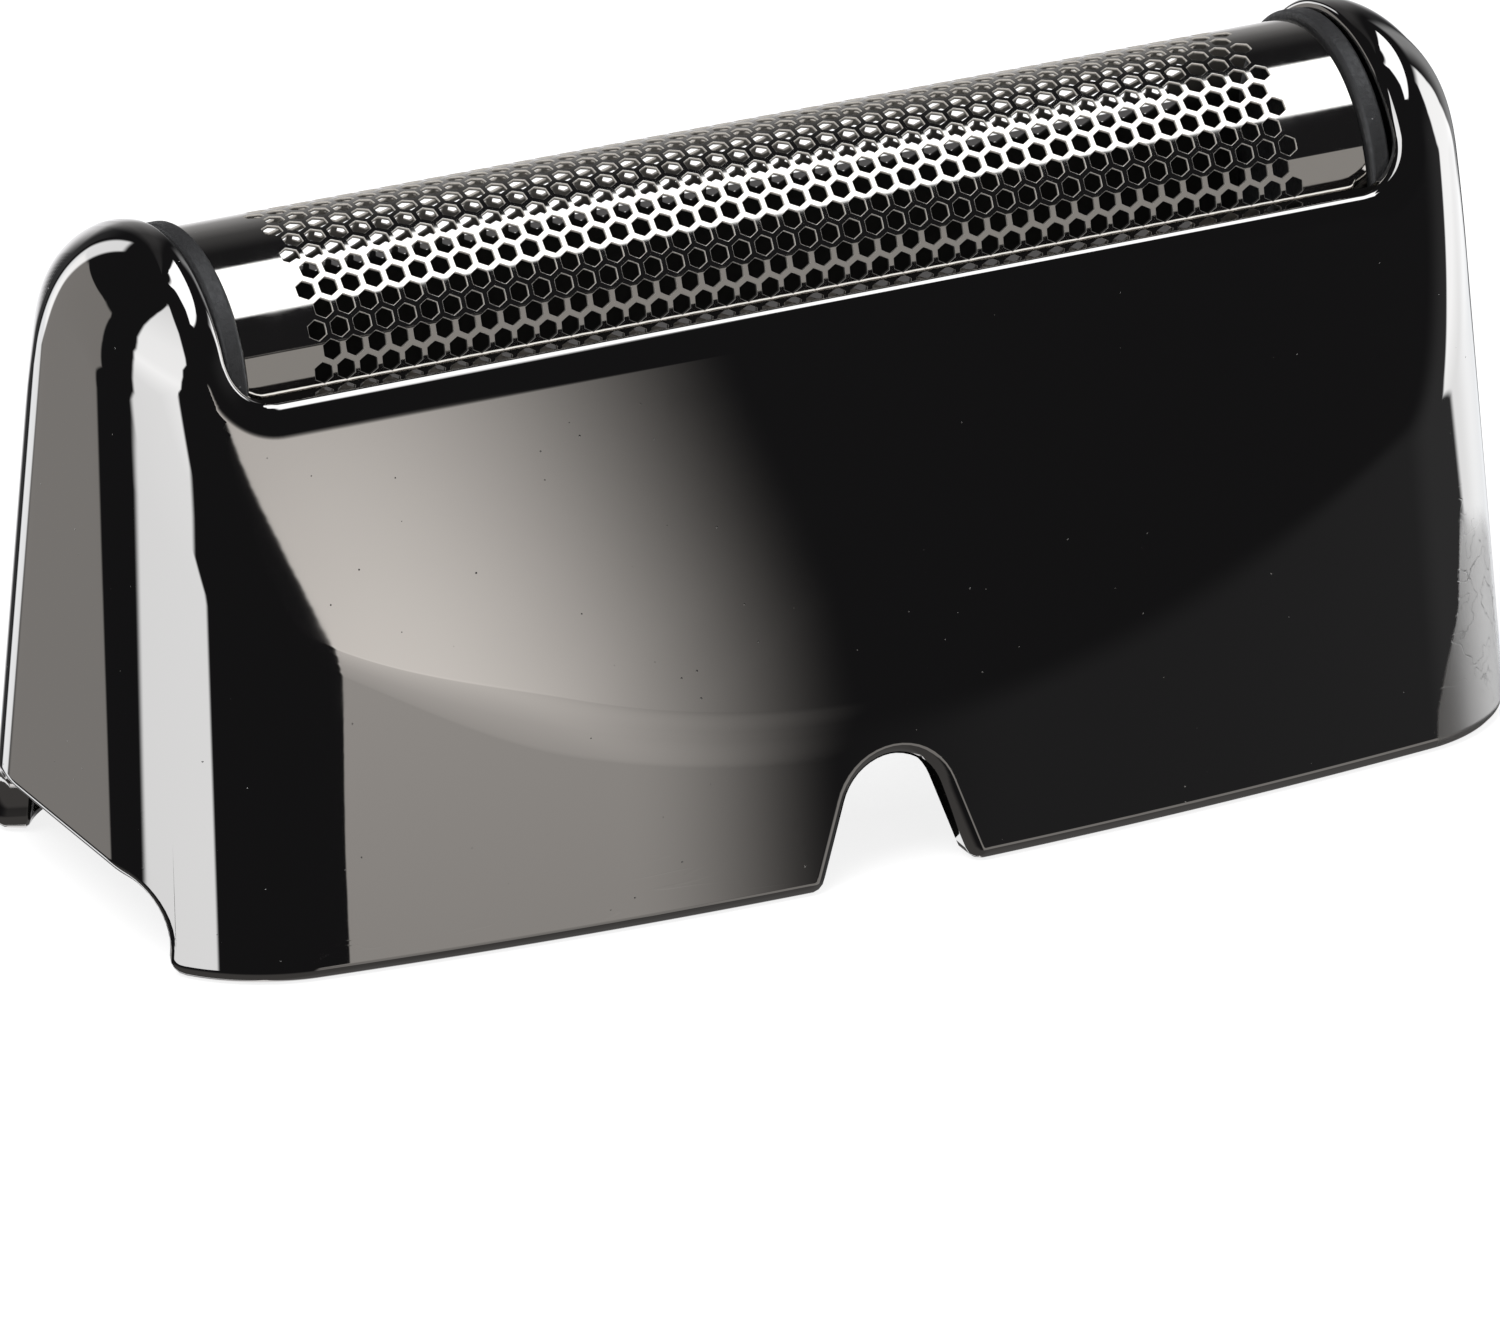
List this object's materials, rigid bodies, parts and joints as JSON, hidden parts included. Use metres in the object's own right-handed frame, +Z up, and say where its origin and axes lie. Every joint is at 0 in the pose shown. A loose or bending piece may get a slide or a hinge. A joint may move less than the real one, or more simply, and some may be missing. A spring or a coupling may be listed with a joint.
{
  "type": "shaver foil head",
  "caption": "Hood-shaped head for an electric shaver: a plated shell with an arched perforated foil between two end towers, pushed onto the shaver's neck from below.",
  "frame": {"origin": "middle of the base, on the plane that the head rests on", "axes": "+X along the foil, -Y towards the front with the notch, +Z up through the foil"},
  "size_m": [0.0546, 0.0228, 0.0249],
  "materials": {
    "hood_plating": "mirror-bright dark plating on moulded plastic",
    "foil_metal": "bright electroformed nickel",
    "carrier_plastic": "fine-grained black moulding"
  },
  "bodies": {
    "root": {"outer_frame": "hood_plating", "foil": "foil_metal", "foil_carrier": "carrier_plastic"}
  },
  "joints": []
}
